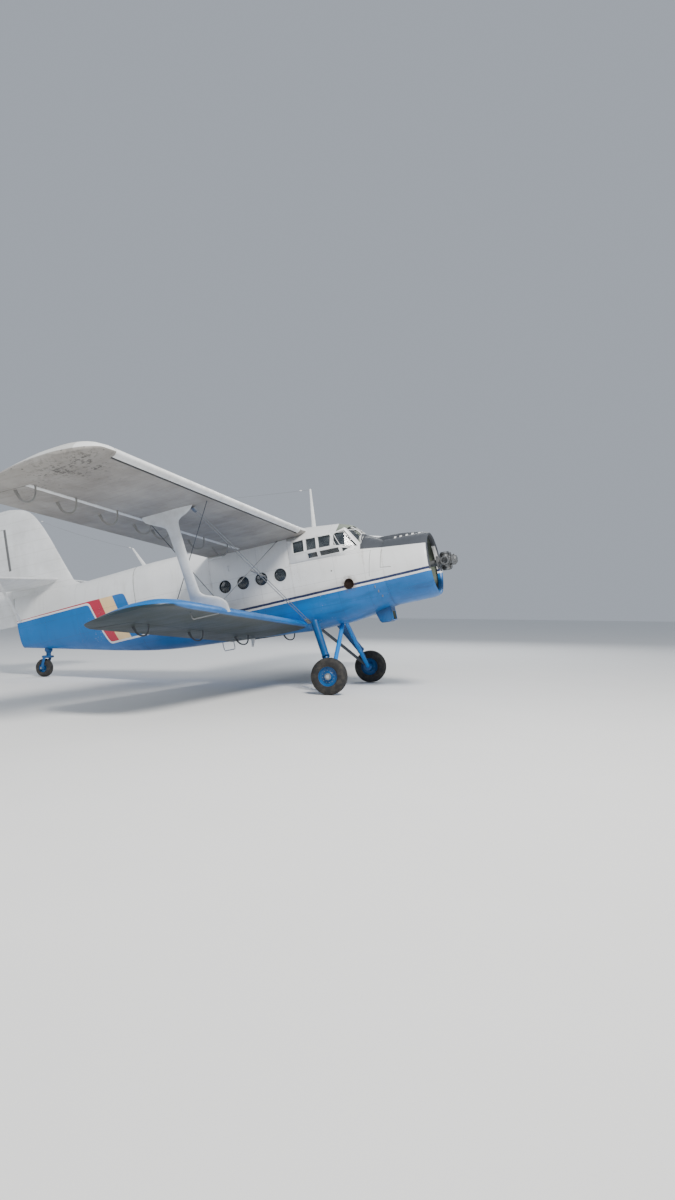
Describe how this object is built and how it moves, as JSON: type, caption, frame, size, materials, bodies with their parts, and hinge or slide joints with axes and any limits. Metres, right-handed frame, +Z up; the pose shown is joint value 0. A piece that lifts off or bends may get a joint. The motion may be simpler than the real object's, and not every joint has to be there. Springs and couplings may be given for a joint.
{
  "type": "utility biplane",
  "caption": "Utility biplane on a tail-wheel undercarriage with a radial engine, bare propeller hub, braced wings, glazed cockpit and a cabin with a cargo door.",
  "frame": {"origin": "middle of the parked aircraft's box, on the ground", "axes": "+X towards the nose, level with the ground, +Y to port, +Z up"},
  "size_m": [12.9546, 18.176, 4.661],
  "materials": {
    "white_paint": "gloss paint, weathered",
    "blue_paint": "gloss paint, weathered",
    "gear_paint": "gloss paint, weathered",
    "grey_paint": "matt paint",
    "interior_paint": "matt paint",
    "wing_fabric": "doped and painted fabric, dirty",
    "blue_fabric": "doped and painted fabric, dirty",
    "engine_metal": "dull, oily",
    "hub_steel": "dull, greasy",
    "wire_steel": "dull",
    "window": "clear with a grey tint",
    "tyre_rubber": "matt",
    "seat_cover": "matt cloth",
    "panel_black": "matt"
  },
  "bodies": {
    "airframe": {"engine_cowl": "blue_paint", "radial_engine": "engine_metal", "intake_duct": "white_paint", "forward_fuselage": "white_paint", "oil_cooler": "blue_paint", "firewall": "interior_paint", "canopy_frame": "white_paint", "canopy_glass": "window", "cabin_shell_front": "white_paint", "cabin_shell_rear": "white_paint", "tail_cone": "white_paint", "cabin_floor": "interior_paint", "crew_bulkhead": "interior_paint", "rear_bulkhead": "interior_paint", "cockpit_floor": "interior_paint", "instrument_panel": "panel_black", "pilot_seat_left": "seat_cover", "pilot_seat_right": "seat_cover", "cabin_windows_left": "window", "cabin_windows_right": "window", "upper_wing_centre": "wing_fabric", "upper_wing_left": "wing_fabric", "upper_wing_right": "wing_fabric", "lower_wing_left": "blue_fabric", "lower_wing_right": "blue_fabric", "interplane_strut_left": "grey_paint", "interplane_strut_right": "grey_paint", "bracing_wires_left": "wire_steel", "bracing_wires_right": "wire_steel", "fin": "white_paint", "tailplane_left": "wing_fabric", "tailplane_right": "wing_fabric", "tail_strut_left": "white_paint", "tail_strut_right": "white_paint", "main_gear_left": "gear_paint", "main_gear_right": "gear_paint", "aerial_mast_front": "white_paint", "aerial_mast_rear": "white_paint"},
    "propeller": {"propeller_hub": "hub_steel"},
    "main_wheel_left": {"wheel_rim_left": "gear_paint", "tyre_left": "tyre_rubber"},
    "main_wheel_right": {"wheel_rim_right": "gear_paint", "tyre_right": "tyre_rubber"},
    "tail_fork": {"tail_fork": "gear_paint"},
    "tail_wheel": {"tail_wheel": "tyre_rubber"},
    "rudder": {"rudder": "wing_fabric"},
    "elevator": {"elevator_left": "wing_fabric", "elevator_right": "wing_fabric"},
    "aileron_left": {"aileron_left": "wing_fabric"},
    "aileron_right": {"aileron_right": "wing_fabric"},
    "upper_flap_left": {"upper_flap_left": "wing_fabric"},
    "upper_flap_right": {"upper_flap_right": "wing_fabric"},
    "lower_flap_left": {"lower_flap_left": "blue_fabric"},
    "lower_flap_right": {"lower_flap_right": "blue_fabric"},
    "slat_left": {"slat_left": "white_paint"},
    "slat_right": {"slat_right": "white_paint"},
    "cargo_door": {"cargo_door": "white_paint"},
    "cabin_door": {"cabin_door": "white_paint"}
  },
  "joints": [
    {"name": "propeller_spin", "type": "hinge", "parent": "airframe", "child": "propeller", "pos_m": [5.9517, 0, 2.88574], "axis": [0.9807, 0, 0.1956], "continuous": true},
    {"name": "main_wheel_left_spin", "type": "hinge", "parent": "airframe", "child": "main_wheel_left", "pos_m": [4.02062, 1.69, 0.4], "axis": [0, 1, 0], "continuous": true},
    {"name": "main_wheel_right_spin", "type": "hinge", "parent": "airframe", "child": "main_wheel_right", "pos_m": [4.02062, -1.69, 0.4], "axis": [0, 1, 0], "continuous": true},
    {"name": "tail_fork_swivel", "type": "hinge", "parent": "airframe", "child": "tail_fork", "pos_m": [-4.17773, 0, 0.59471], "axis": [0, 0, 1], "continuous": true},
    {"name": "tail_wheel_spin", "type": "hinge", "parent": "tail_fork", "child": "tail_wheel", "pos_m": [-4.29773, 0, 0.23471], "axis": [0, 1, 0], "continuous": true},
    {"name": "rudder_hinge", "type": "hinge", "parent": "airframe", "child": "rudder", "pos_m": [-5.39379, 0, 2.56023], "axis": [-0.1956, 0, 0.9807], "range_deg": [-28, 28]},
    {"name": "elevator_hinge", "type": "hinge", "parent": "airframe", "child": "elevator", "pos_m": [-5.15369, 0, 2.27672], "axis": [0, 1, 0], "range_deg": [-22, 42]},
    {"name": "aileron_left_hinge", "type": "hinge", "parent": "airframe", "child": "aileron_left", "pos_m": [1.25856, 6.4, 3.43985], "axis": [-0.0123, 0.998, 0.0617], "range_deg": [-14, 30]},
    {"name": "aileron_right_hinge", "type": "hinge", "parent": "airframe", "child": "aileron_right", "pos_m": [1.25856, -6.4, 3.43985], "axis": [0.0123, 0.998, -0.0617], "range_deg": [-14, 30]},
    {"name": "upper_flap_left_hinge", "type": "hinge", "parent": "airframe", "child": "upper_flap_left", "pos_m": [1.30539, 2.6, 3.20508], "axis": [0.0123, -0.998, -0.0617], "range_deg": [0, 40]},
    {"name": "upper_flap_right_hinge", "type": "hinge", "parent": "airframe", "child": "upper_flap_right", "pos_m": [1.30539, -2.6, 3.20508], "axis": [-0.0123, -0.998, 0.0617], "range_deg": [0, 40]},
    {"name": "lower_flap_left_hinge", "type": "hinge", "parent": "airframe", "child": "lower_flap_left", "pos_m": [1.73554, 3.7, 1.32097], "axis": [0.0147, -0.9972, -0.0738], "range_deg": [0, 40]},
    {"name": "lower_flap_right_hinge", "type": "hinge", "parent": "airframe", "child": "lower_flap_right", "pos_m": [1.73554, -3.7, 1.32097], "axis": [-0.0147, -0.9972, 0.0738], "range_deg": [0, 40]},
    {"name": "slat_left_slide", "type": "slide", "parent": "airframe", "child": "slat_left", "axis": [0.9884, 0, -0.1516], "range_m": [0, 0.09]},
    {"name": "slat_right_slide", "type": "slide", "parent": "airframe", "child": "slat_right", "axis": [0.9884, 0, -0.1516], "range_m": [0, 0.09]},
    {"name": "cargo_door_hinge", "type": "hinge", "parent": "airframe", "child": "cargo_door", "pos_m": [-0.03893, 0.81035, 2.75748], "axis": [0.9805, 0.021, 0.1956], "range_deg": [0, 85]},
    {"name": "cabin_door_hinge", "type": "hinge", "parent": "cargo_door", "child": "cabin_door", "pos_m": [0.74638, 0.776, 2.11263], "axis": [-0.1956, 0, 0.9807], "range_deg": [0, 85]}
  ],
  "couplings": [
    {"joint": "upper_flap_right_hinge", "follows": "upper_flap_left_hinge", "ratio": 1},
    {"joint": "lower_flap_left_hinge", "follows": "upper_flap_left_hinge", "ratio": 1},
    {"joint": "lower_flap_right_hinge", "follows": "upper_flap_left_hinge", "ratio": 1}
  ]
}
